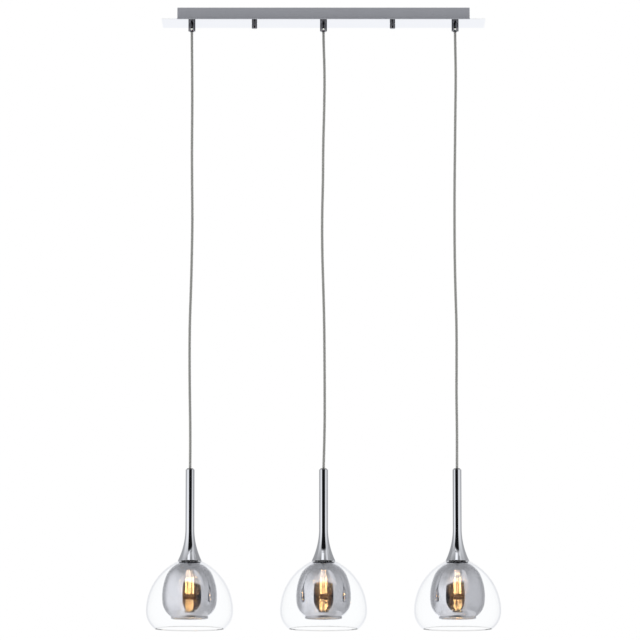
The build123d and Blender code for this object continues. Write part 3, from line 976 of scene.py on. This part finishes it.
def inner_glass(side, place):
    """Egg-shaped glass: collar, shoulder, flank, hip and a short lip."""
    widest = INNER_COLLAR_TOP - INNER_CROWN_HEIGHT
    centre = Vector((INNER_WIDEST_RADIUS - INNER_FLANK_RADIUS, widest))
    above = flank_above(centre)
    flank = []
    for step in range(INNER_FLANK_STEPS + 1):
        angle = above - (above + INNER_FLANK_BELOW) * step / INNER_FLANK_STEPS
        flank.append(centre + Vector((math.cos(angle), math.sin(angle))) * INNER_FLANK_RADIUS)
    upward = (-math.sin(above), math.cos(above))
    downward = (-math.sin(INNER_FLANK_BELOW), -math.cos(INNER_FLANK_BELOW))
    shoulder = arc(flank[0], (COLLAR_RADIUS, INNER_COLLAR_TOP), upward, steps=24)
    hip = arc(flank[-1], (INNER_LIP_RADIUS, INNER_LIP_TOP), downward, steps=24)
    outline = [(COLLAR_HOLE_RADIUS, INNER_COLLAR_TOP)] + shoulder[::-1] + flank + hip
    outline += [(INNER_LIP_RADIUS, INNER_LIP_TOP - INNER_LIP_HEIGHT)]
    return walled(lathe(side + "_inner_glass", outline, place), INNER_WALL)


def bulb_cap(side, place):
    """Screw cap with rolled threads, a tapered insulator and a contact button."""
    insulator_top = CAP_TOP - CAP_BUTTON_HEIGHT
    outline = [(0, CAP_TOP), (CAP_BUTTON_RADIUS, CAP_TOP), (CAP_BUTTON_RADIUS, insulator_top)]
    outline += [(CAP_INSULATOR_RADIUS, insulator_top), (CAP_RADIUS - CAP_THREAD_DEPTH, CAP_SHELL_TOP)]
    for step in range(CAP_THREADS * CAP_THREAD_STEPS + 1):
        turn = step / CAP_THREAD_STEPS
        wave = (1 - math.cos(2 * math.pi * turn)) / 2
        height = CAP_SHELL_TOP - CAP_THREAD_PITCH * turn
        outline.append((CAP_RADIUS - CAP_THREAD_DEPTH * (1 - wave), height))
    outline += [(CAP_RADIUS, CAP_BOTTOM), (0, CAP_BOTTOM)]
    return lathe(side + "_bulb_cap_rolled", outline, place, steps=64)


def bulb_envelope(side, place):
    """Thin round glass: a straight neck, a flared throat and a globe."""
    centre = CAP_BOTTOM - ENVELOPE_LENGTH + ENVELOPE_RADIUS
    tip = (0, centre - ENVELOPE_RADIUS)
    throat = (ENVELOPE_NECK_RADIUS, CAP_BOTTOM - ENVELOPE_NECK_LENGTH)
    rise = throat[1] - centre
    span = ENVELOPE_NECK_RADIUS**2 + rise**2 - ENVELOPE_RADIUS**2
    throat_radius = span / (2 * (ENVELOPE_RADIUS - ENVELOPE_NECK_RADIUS))
    share = ENVELOPE_RADIUS / (ENVELOPE_RADIUS + throat_radius)
    meeting = (share * (ENVELOPE_NECK_RADIUS + throat_radius), centre + share * rise)
    globe = arc(tip, meeting, (1, 0), steps=40)
    outline = [(ENVELOPE_NECK_RADIUS, CAP_BOTTOM), throat] + arc(throat, meeting, (0, -1), steps=12)
    outline += globe[-2::-1] + [tip]
    skin = lathe(side + "_bulb_envelope", outline, place, steps=96)
    return walled(skin, ENVELOPE_WALL)


def filaments(side, place):
    """Lit sticks in a ring round the bulb's axis."""
    outline = stick_outline(FILAMENT_RADIUS)
    sticks = [lathe("stick", outline, place + outward, steps=20) for outward in stick_ring(side)]
    return joined(side + "_filament_sticks", sticks)


def stick_ring(side):
    """Offsets of the sticks from the bulb's axis, as each bulb is turned in its holder."""
    offsets = []
    for index in range(FILAMENT_COUNT):
        angle = FILAMENT_TURN[side] + 2 * math.pi * index / FILAMENT_COUNT
        offsets.append(Vector((math.cos(angle), math.sin(angle), 0)) * FILAMENT_CIRCLE)
    return offsets


def stick_outline(radius):
    """Outline of a stick with bevelled ends."""
    tip = radius * STICK_TIP_SHARE
    top, bottom = FILAMENT_TOP, FILAMENT_TOP - FILAMENT_LENGTH
    return [(0, top), (tip, top), (radius, top - tip), (radius, bottom + tip), (tip, bottom), (0, bottom)]


def amber_coats_and_painted_glow(side, place):
    """Soft coats round the sticks, partly phosphor and partly painted glow, and painted glow on their lead
    wires and on the glass rod between them.
    """
    # The rod glows with painted light.
    coats = [lathe("rod", stick_outline(ROD_RADIUS), place, steps=24)]
    outline = stick_outline(COAT_RADIUS)
    for outward in stick_ring(side):
        coats.append(lathe("coat", outline, place + outward, steps=20))
        # The lead wires glow with painted light from the sticks.
        foot = place + outward + Vector((0, 0, FILAMENT_TOP))
        head = place + outward * LEAD_DRAW_IN + Vector((0, 0, CAP_BOTTOM - LEAD_DROP))
        coats.append(tube("lead", [head, foot], LEAD_RADIUS, sides=10))
    return joined(side + "_amber_coats_and_painted_glow", coats)


def bulb_supports(side, place):
    """Fine wires that carry the sticks, above and below."""
    top, bottom = FILAMENT_TOP, FILAMENT_TOP - FILAMENT_LENGTH
    post = [place + Vector((0, 0, height)) for height in (top + MOUNT_RISE, bottom)]
    parts = [tube("post", post, SUPPORT_RADIUS, sides=8)]
    for outward in stick_ring(side):
        for height in (top + SUPPORT_RADIUS, bottom - SUPPORT_RADIUS):
            level = place + Vector((0, 0, height))
            parts.append(tube("spoke", [level, level + outward], SUPPORT_RADIUS, sides=8))
    return joined(side + "_bulb_supports", parts)


def bulb_mount(side, place):
    """Pressed glass mount: a flare that fills the neck, drawn in to a stem with a round end."""
    end = FILAMENT_TOP + MOUNT_RISE
    flare = (MOUNT_FLARE_RADIUS, CAP_BOTTOM - MOUNT_FLARE_HEIGHT)
    stalk = (MOUNT_RADIUS, end + MOUNT_RADIUS)
    middle = ((flare[0] + stalk[0]) / 2, (flare[1] + stalk[1]) / 2)
    waist = arc(stalk, middle, (0, 1), steps=8)
    outline = [(0, CAP_BOTTOM), (MOUNT_FLARE_RADIUS, CAP_BOTTOM), flare]
    outline += arc(flare, middle, (0, -1), steps=8) + waist[-2::-1] + [stalk]
    outline += arc(stalk, (0, end), (0, -1), steps=8)[:-1] + [(0, end)]
    return lathe(side + "_bulb_mount", outline, place, steps=48)


def lamp(side):
    """Everything that hangs on one cord."""
    body = side + "_lamp"
    place = axis_of(side + "_stem")
    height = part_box(side + "_stem")[1].z - place.z
    dress(stem(side, place, height), "chrome", body, "polished_chrome", side + "_stem")
    dress(bush(side, place, height), "black_plastic", body, "black_plastic", side + "_stem_bush")
    clear = dress(outer_glass(side, place), "clear_glass", body, "clear_glass", side + "_outer_shade")
    clear.data.materials.append(MATERIALS["ground_glass"])
    clear.modifiers["wall"].material_offset_rim = 1
    smoked = dress(inner_glass(side, place), "smoked_glass", body, "smoked_glass", side + "_inner_shade")
    smoked.data.materials.append(MATERIALS["smoked_lip"])
    for face in smoked.data.polygons:
        face.material_index = int(face.center.z < INNER_LIP_TOP)
    dress(bulb_cap(side, place), "nickel", body, "nickel_steel", side + "_bulb_cap")
    # The bulb glass and mount, and the coats' wires and rod, glow with painted light; the sticks are the
    # lamp.
    dress(bulb_envelope(side, place), "bulb_glass", body, "bulb_glass", side + "_bulb_glass")
    dress(filaments(side, place), "filament", body, "filament", side + "_bulb_filaments")
    dress(amber_coats_and_painted_glow(side, place), "phosphor_and_painted_glow", body, "filament")
    dress(bulb_supports(side, place), "nickel", body, "nickel_steel")
    dress(bulb_mount(side, place), "mount_glass_painted_glow", body, "bulb_glass")
    dress(softened_node(side + "_shade_ring", SMALL_ROUND), "black_plastic", body, "black_plastic")
    for node, material in (
        ("lampholder", "black_plastic"), ("socket_contacts", "brass"), ("nipple", "zinc"),
        ("stem_lead", "sheath"), ("shade_gaskets", "gasket"),
    ):
        paint(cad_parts[side + "_" + node], material)


# Studio

def floor():
    """Plain pale floor, open to a view from below."""
    build = bmesh.new()
    bmesh.ops.create_circle(build, cap_ends=True, segments=FLOOR_SIDES, radius=FLOOR_RADIUS)
    ground = built("studio_floor", build)
    ground.location = (0, 0, FLOOR_HEIGHT)
    finish = Finish("pale_floor", {"Base Color": (0.9, 0.9, 0.9, 1), "Roughness": 0.9})
    behind = finish.source("ShaderNodeNewGeometry", "Backfacing")
    clear = finish.source("ShaderNodeBsdfTransparent", "BSDF")
    surface = finish.shade(behind, finish.shader.outputs["BSDF"], clear)
    finish.feed(finish.tree.nodes["Material Output"], {"Surface": surface})
    ground.data.materials.append(finish.material)
    ground.visible_glossy = False
    ground.visible_transmission = False


class StudioLight(ShaderKit):
    """Tones of the studio by direction, as reflections and glass show them."""

    def __init__(self, tree, x, y, z, elevation):
        super().__init__(tree)
        forward = self.math("MULTIPLY", y, -1.0)
        self.elevation = elevation
        self.bearing = self.math("ARCTAN2", x, forward)
        self.azimuth = self.math("ABSOLUTE", self.bearing)
        self.pitch = self.math("ARCTAN2", z, forward)
        self.across = self.product(self.math("SINE", self.bearing), self.math("COSINE", elevation))
        self.through = self.after("Transmission Depth")
        arched = self.math("ADD", elevation, self.product(self.azimuth, self.azimuth, GAP_ARCH))
        gap_top = self.blend(self.through, *GAP_TOPS)
        self.over = self.ramp(self.math("SUBTRACT", arched, gap_top), -GAP_EDGE, GAP_EDGE)

    def colour(self):
        """All the tones, with a cool tint."""
        tone = self.sides()
        for add in (self.strips, self.far_wall, self.gap, self.clear_view):
            tone = add(tone)
        shares = {channel: self.math("MULTIPLY", tone, share) for channel, share in TINT_SHARES.items()}
        return self.add("ShaderNodeCombineColor", shares).outputs["Color"]

    def sides(self):
        """Two bright sides that darken behind, with a floor below and a ceiling above."""
        to_right = self.ramp(self.bearing, -GAP_BEARING / 2, GAP_BEARING / 2)
        left_tone = self.blend(self.through, *LEFT_TONES)
        right_tone = self.blend(self.through, *RIGHT_TONES)
        tone = self.blend(to_right, left_tone, right_tone)
        aside = self.math("SUBTRACT", self.azimuth, self.blend(self.through, *SIDE_STARTS))
        tone = self.blend(self.ramp(aside, 0.0, SIDE_FADE), tone, self.blend(self.through, *SIDE_TONES))
        tone = self.blend(self.ramp(self.azimuth, *BACK_FADE), tone, BACK_TONE)
        low_tone = self.blend(self.ramp(self.across, -LOW_SPREAD, LOW_SPREAD), *LOW_TONES)
        tone = self.blend(self.ramp(self.elevation, *LOW_FADE), tone, low_tone)
        return self.blend(self.ramp(self.elevation, *UPPER_FADE), tone, UPPER_TONE)

    def strips(self, tone):
        """Adds the bright strips over the gap."""
        below_end = self.ramp(self.elevation, STRIP_END + 2 * STRIP_EDGE, STRIP_END)
        for (start, end), levels in TOP_STRIPS:
            after = self.ramp(self.bearing, start - STRIP_EDGE, start + STRIP_EDGE)
            before = self.ramp(self.bearing, end + STRIP_EDGE, end - STRIP_EDGE)
            strip = self.product(self.over, after, before, below_end)
            tone = self.blend(strip, tone, self.blend(self.through, *levels))
        return tone

    def far_wall(self, tone):
        """Adds the pale wall behind the lamps, with the white sweep at its foot."""
        behind = self.ramp(self.azimuth, *FAR_BEARINGS)
        below_top = self.ramp(self.elevation, *FAR_TOP)
        above_foot = self.ramp(self.elevation, *FAR_BOTTOM)
        wall = self.ramp(self.elevation, *SWEEP_FADE, FAR_TONE, SWEEP_TONE)
        return self.blend(self.product(behind, below_top, above_foot), tone, wall)

    def gap(self, tone):
        """Adds the dark gap on the viewer's side, with its foot."""
        upright = self.ramp(self.azimuth, GAP_BEARING + GAP_EDGE / 2, GAP_BEARING - GAP_EDGE / 2)
        aside = self.math("ABSOLUTE", self.across)
        narrow = self.ramp(aside, GAP_FOOT_WIDTH + GAP_FOOT_EDGE, GAP_FOOT_WIDTH - GAP_FOOT_EDGE)
        low = self.ramp(self.elevation, GAP_FOOT + GAP_EDGE, GAP_FOOT - GAP_EDGE)
        either = self.math("MAXIMUM", upright, self.product(narrow, low))
        under = self.math("SUBTRACT", 1.0, self.over)
        above_bottom = self.ramp(self.pitch, GAP_BOTTOM - GAP_EDGE, GAP_BOTTOM + GAP_EDGE)
        return self.blend(self.product(either, under, above_bottom), tone, GAP_TONE)

    def clear_view(self, tone):
        """Evens out what shows through the clear glass alone."""
        walls = self.source("ShaderNodeLightPath", "Transmission Depth")
        above = self.ramp(self.elevation, OPENING_SLOPE, OPENING_SLOPE + 2 * GAP_EDGE)
        one_glass = self.product(self.through, self.ramp(walls, *ONE_GLASS_WALLS), above)
        return self.blend(one_glass, tone, CLEAR_TONE)


def studio_world():
    """White for the camera and matt surfaces, and the studio's tones in reflections."""
    world = bpy.data.worlds.new("studio")
    bpy.context.scene.world = world
    world.use_nodes = True
    world.cycles.sampling_method = "NONE"
    world.node_tree.nodes.clear()
    kit = ShaderKit(world.node_tree)
    x, y, z = kit.axes(kit.source("ShaderNodeTexCoord", "Generated"))
    tones = StudioLight(kit.tree, x, y, z, kit.math("ARCSINE", z))
    white = kit.light("ShaderNodeBackground", WHITE)
    studio = kit.light("ShaderNodeBackground", tones.colour())
    light = kit.shade(kit.after("Glossy Depth"), white, studio)
    light = kit.shade(kit.after("Diffuse Depth"), light, white)
    kit.add("ShaderNodeOutputWorld", {"Surface": light})


def tent_material():
    """Studio tones by place on the tent, seen after a reflection; else plain white."""
    material = bpy.data.materials.new("light_tent")
    material.use_nodes = True
    material.cycles.emission_sampling = "NONE"
    material.node_tree.nodes.clear()
    kit = ShaderKit(material.node_tree)
    x, y, z = kit.axes(kit.source("ShaderNodeNewGeometry", "Position"))
    rise = kit.math("SUBTRACT", z, TENT_MIDDLE)
    tones = StudioLight(kit.tree, x, y, rise, kit.math("ARCTAN2", rise, TENT_RADIUS))
    white = kit.light("ShaderNodeEmission", WHITE)
    studio = kit.light("ShaderNodeEmission", tones.colour())
    light = kit.shade(kit.after("Glossy Depth"), white, studio)
    kit.add("ShaderNodeOutputMaterial", {"Surface": light})
    return material


def tent():
    """Light tent, which the camera and matt surfaces do not see."""
    build = bmesh.new()
    upper, lower = [], []
    for step in range(TENT_STEPS + 1):
        bearing = TENT_REACH * (2 * step / TENT_STEPS - 1)
        x, y = TENT_RADIUS * math.sin(bearing), -TENT_RADIUS * math.cos(bearing)
        upper.append(build.verts.new((x, y, TENT_TOP)))
        lower.append(build.verts.new((x, y, TENT_BOTTOM)))
    for step in range(TENT_STEPS):
        build.faces.new((upper[step], lower[step], lower[step + 1], upper[step + 1]))
    wall = built("light_tent", build)
    wall.data.materials.append(tent_material())
    wall.visible_camera = False
    wall.visible_diffuse = False
    wall.visible_shadow = False


def camera():
    """Long lens from below, at the photograph's angle."""
    data = bpy.data.cameras.new("photo_camera")
    data.lens = CAMERA_LENS
    data.sensor_width = SENSOR_WIDTH
    data.clip_end = CAMERA_REACH
    eye = bpy.data.objects.new("photo_camera", data)
    eye.location = CAMERA_PLACE
    eye.rotation_euler = (CAMERA_TILT, 0, 0)
    bpy.context.scene.collection.objects.link(eye)
    bpy.context.scene.camera = eye


def picture_settings():
    """Plain tones, and enough bounces for nested glass."""
    scene = bpy.context.scene
    scene.view_settings.view_transform = "Standard"
    scene.cycles.denoising_input_passes = "RGB"
    scene.cycles.max_bounces = MAX_BOUNCES
    scene.cycles.transmission_bounces = MAX_BOUNCES
    scene.cycles.glossy_bounces = GLOSSY_BOUNCES
    scene.cycles.transparent_max_bounces = CLEAR_BOUNCES


canopy()
for side in SIDES:
    cord(side)
    lamp(side)
floor()
tent()
studio_world()
camera()
picture_settings()
